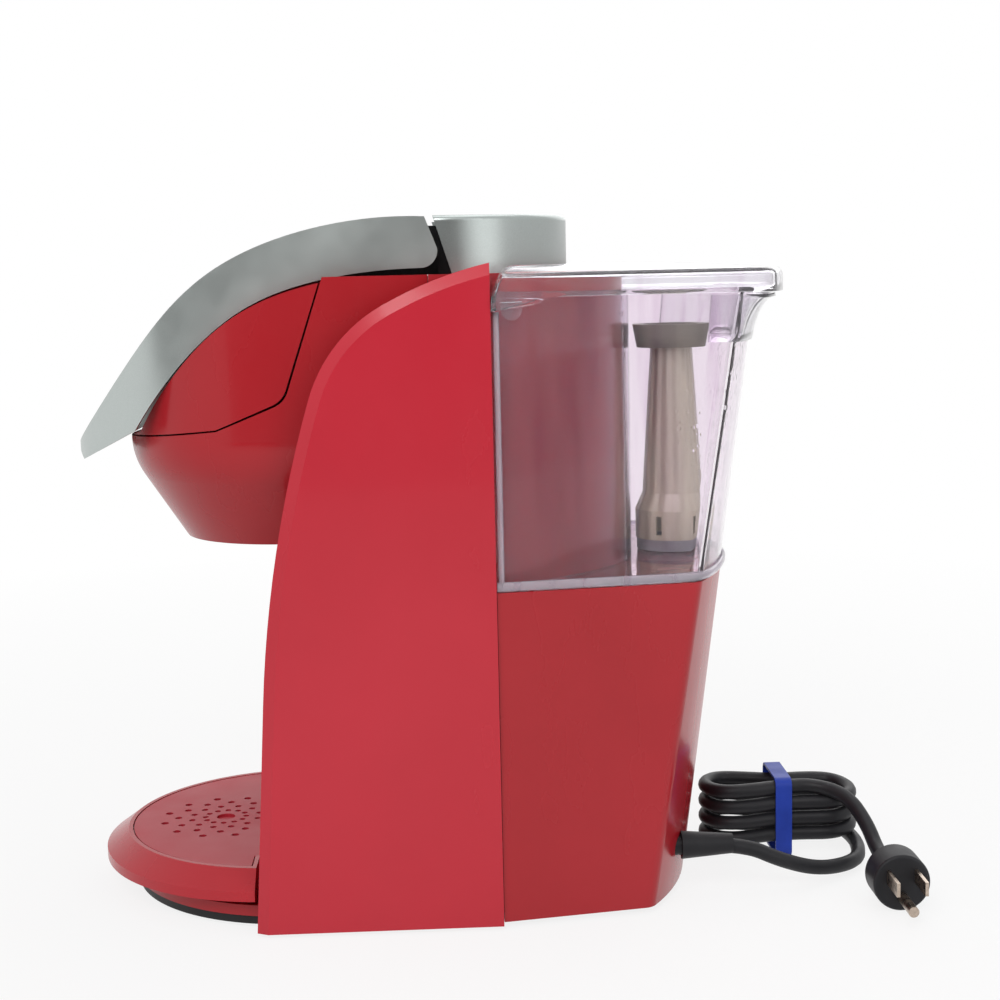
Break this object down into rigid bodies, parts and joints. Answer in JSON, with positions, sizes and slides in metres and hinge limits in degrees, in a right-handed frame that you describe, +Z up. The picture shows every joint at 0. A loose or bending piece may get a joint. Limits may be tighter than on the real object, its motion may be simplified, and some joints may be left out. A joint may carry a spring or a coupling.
{
  "type": "pod coffee maker",
  "caption": "Single-cup pod coffee maker with a lifting handle and lid, a clear rear water tank, a slide-out drip tray and a tied mains cord.",
  "frame": {"origin": "on the floor under the middle of the body, cord left out", "axes": "+Z up, -Y to the front where the mug stands, +X to the right-hand side as seen by a user facing it"},
  "size_m": [0.204, 0.386, 0.316],
  "materials": {
    "red_plastic": "moulded, glossy",
    "silver_plastic": "satin silver",
    "clear_plastic": "clear, polished",
    "black_plastic": "fine matt grain",
    "panel_black": "glossy",
    "button_grey": "satin",
    "smoke_window": "glossy",
    "filter_cream": "translucent",
    "filter_olive": "matt",
    "seal_grey": "soft",
    "rubber": "matt",
    "steel": "brushed",
    "board_green": "solder mask",
    "cord_black": "satin jacket",
    "tie_blue": "satin",
    "plated_metal": "plated"
  },
  "bodies": {
    "housing": {"side_panel_right": "red_plastic", "side_panel_left": "red_plastic", "panel_screws": "steel", "column_shell": "red_plastic", "head_housing": "red_plastic", "pod_holder": "black_plastic", "coffee_spout": "black_plastic", "exit_needle": "steel", "hinge_pins": "steel", "control_ring": "silver_plastic", "control_panel": "panel_black", "display_window": "smoke_window", "switch_board": "board_green", "reservoir_base": "red_plastic", "valve_socket": "black_plastic", "base_plate": "black_plastic", "rubber_feet": "rubber", "tray_cradle": "red_plastic", "heater_tank": "steel", "heater_stand": "black_plastic", "thermostat": "black_plastic", "water_pump": "black_plastic", "air_pump": "black_plastic", "solenoid_valve": "black_plastic", "control_board": "board_green", "cord_relief": "cord_black", "cord_tail": "cord_black", "cord_hank": "cord_black", "cord_end": "cord_black", "cord_tie": "tie_blue", "plug_body": "cord_black", "plug_prongs": "plated_metal"},
    "handle": {"handle_frame": "silver_plastic"},
    "lid": {"lid_jaw": "red_plastic", "needle_carrier": "black_plastic", "inlet_needle": "steel", "pod_seal": "seal_grey"},
    "tray": {"drip_tray": "red_plastic"},
    "plate": {"drip_plate": "red_plastic"},
    "tank": {"water_tank": "clear_plastic", "tank_valve": "seal_grey", "filter_grip": "filter_olive", "filter_stem": "filter_cream", "filter_basket": "filter_cream", "filter_ring": "seal_grey"},
    "tank_cover": {"tank_lid": "clear_plastic"},
    "button_brew": {"brew_button": "button_grey"},
    "button_cup_small": {"cup_button_small": "button_grey"},
    "button_cup_medium": {"cup_button_medium": "button_grey"},
    "button_cup_large": {"cup_button_large": "button_grey"},
    "button_power": {"power_button": "button_grey"}
  },
  "joints": [
    {"name": "handle_lift", "type": "hinge", "parent": "housing", "child": "handle", "pos_m": [0, -0.026, 0.304], "axis": [-1, 0, 0], "range_deg": [0, 55]},
    {"name": "lid_open", "type": "hinge", "parent": "housing", "child": "lid", "pos_m": [0, -0.026, 0.304], "axis": [-1, 0, 0], "range_deg": [0, 38.5]},
    {"name": "tray_slide", "type": "slide", "parent": "housing", "child": "tray", "axis": [0, -1, 0], "range_m": [0, 0.07]},
    {"name": "plate_lift", "type": "slide", "parent": "tray", "child": "plate", "axis": [0, 0, 1], "range_m": [0, 0.02]},
    {"name": "tank_lift", "type": "slide", "parent": "housing", "child": "tank", "axis": [0, 0, 1], "range_m": [0, 0.05]},
    {"name": "tank_lid_lift", "type": "slide", "parent": "tank", "child": "tank_cover", "axis": [0, 0, 1], "range_m": [0, 0.03]},
    {"name": "button_brew_press", "type": "slide", "parent": "housing", "child": "button_brew", "axis": [0, 0, -1], "range_m": [0, 0.0015], "stiffness_N_per_m": 400},
    {"name": "button_cup_small_press", "type": "slide", "parent": "housing", "child": "button_cup_small", "axis": [0, 0, -1], "range_m": [0, 0.0015], "stiffness_N_per_m": 400},
    {"name": "button_cup_medium_press", "type": "slide", "parent": "housing", "child": "button_cup_medium", "axis": [0, 0, -1], "range_m": [0, 0.0015], "stiffness_N_per_m": 400},
    {"name": "button_cup_large_press", "type": "slide", "parent": "housing", "child": "button_cup_large", "axis": [0, 0, -1], "range_m": [0, 0.0015], "stiffness_N_per_m": 400},
    {"name": "button_power_press", "type": "slide", "parent": "housing", "child": "button_power", "axis": [0, 0, -1], "range_m": [0, 0.0015], "stiffness_N_per_m": 400}
  ],
  "couplings": [
    {"joint": "lid_open", "follows": "handle_lift", "ratio": 0.7}
  ]
}
